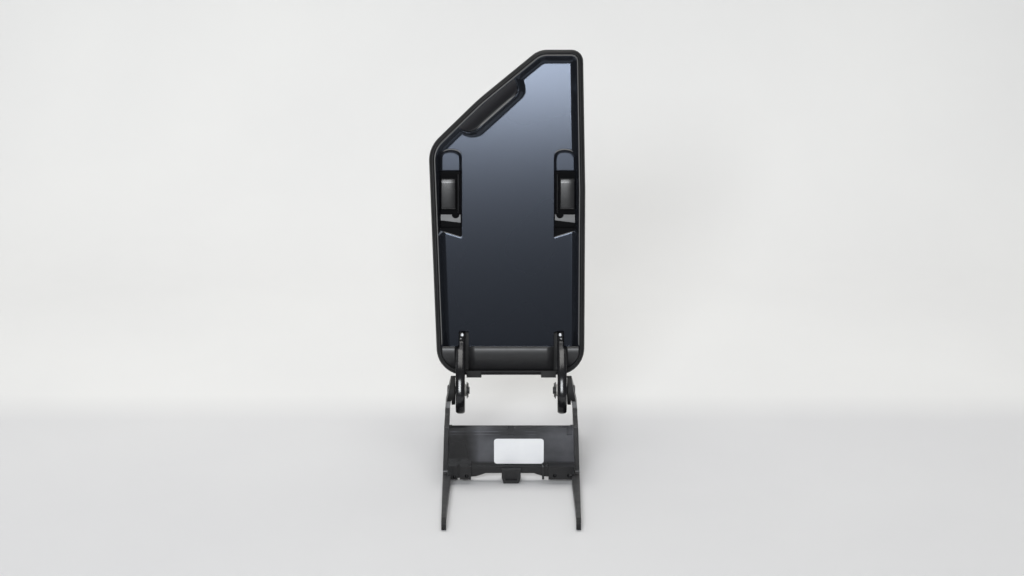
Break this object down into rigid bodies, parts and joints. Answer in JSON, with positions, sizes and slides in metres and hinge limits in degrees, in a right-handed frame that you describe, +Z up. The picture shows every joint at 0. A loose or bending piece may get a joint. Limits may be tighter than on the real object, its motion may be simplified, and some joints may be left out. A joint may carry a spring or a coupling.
{
  "type": "center console armrest lid",
  "caption": "Padded leather armrest lid with a chamfered corner, recessed black inner panel, finger grip and sliding latches, open on a steel hinge bracket.",
  "frame": {"origin": "On the floor, in the middle of the centre foot's flat underside", "axes": "+X to the right seen from the front, +Y away from the viewer towards the rear of the bracket, +Z up"},
  "size_m": [0.1623, 0.3098, 0.4148],
  "materials": {
    "black_steel": "satin black paint on steel plate",
    "arm_paint": "semi-gloss black paint",
    "pin_steel": "bright turned steel",
    "zinc_steel": "zinc plate",
    "spring_steel": "plain spring steel",
    "panel_plastic": "satin to gloss moulded black",
    "black_leather": "fine-grained black leather",
    "pad_foam": "open-cell foam, hidden",
    "label_paper": "white label stock, blank",
    "tip_rubber": "dull black rubber",
    "bush_plastic": "natural acetal",
    "carrier_plastic": "dark grey moulding, hidden",
    "black_plastic": "fine-textured black moulding"
  },
  "bodies": {
    "bracket": {"center_foot": "black_plastic", "cross_panel": "black_plastic", "hinge_pin_left": "pin_steel", "hinge_pin_right": "pin_steel", "panel_screw_left_high": "zinc_steel", "panel_screw_left_low": "zinc_steel", "panel_screw_right_high": "zinc_steel", "panel_screw_right_low": "zinc_steel", "parts_label": "label_paper", "pin_clip_left": "spring_steel", "pin_clip_right": "spring_steel", "pin_washer_left": "zinc_steel", "pin_washer_right": "zinc_steel", "rail_tip_left": "tip_rubber", "rail_tip_right": "tip_rubber", "side_rail_left": "black_steel", "side_rail_right": "black_steel"},
    "lid": {"arm_bush_left": "bush_plastic", "arm_bush_right": "bush_plastic", "arm_screw_left": "zinc_steel", "arm_screw_right": "zinc_steel", "foam_pad": "pad_foam", "hinge_arm_left": "arm_paint", "hinge_arm_right": "arm_paint", "inner_panel": "panel_plastic", "latch_frame_left": "black_plastic", "latch_frame_right": "black_plastic", "latch_rod_left": "pin_steel", "latch_rod_right": "pin_steel", "latch_spring_left": "spring_steel", "latch_spring_right": "spring_steel", "leather_cover": "black_leather", "lid_carrier": "carrier_plastic", "panel_clip_1": "black_plastic", "panel_clip_2": "black_plastic", "panel_clip_3": "black_plastic", "panel_clip_4": "black_plastic", "panel_clip_5": "black_plastic", "panel_clip_6": "black_plastic", "rear_closeout": "black_plastic", "rear_edge_clip_left": "black_plastic", "rear_edge_clip_right": "black_plastic"},
    "latch_left": {"latch_slider_left": "black_plastic"},
    "latch_right": {"latch_slider_right": "black_plastic"}
  },
  "joints": [
    {"name": "lid_hinge", "type": "hinge", "parent": "bracket", "child": "lid", "pos_m": [0, 0.05, 0.08], "axis": [1, 0, 0], "range_deg": [0, 105]},
    {"name": "latch_left_slide", "type": "slide", "parent": "lid", "child": "latch_left", "axis": [0, -0.2588, -0.9659], "range_m": [0, 0.0045], "stiffness_N_per_m": 300, "springref_m": -0.004, "deforming": ["latch_spring_left"]},
    {"name": "latch_right_slide", "type": "slide", "parent": "lid", "child": "latch_right", "axis": [0, -0.2588, -0.9659], "range_m": [0, 0.0045], "stiffness_N_per_m": 300, "springref_m": -0.004, "deforming": ["latch_spring_right"]}
  ]
}
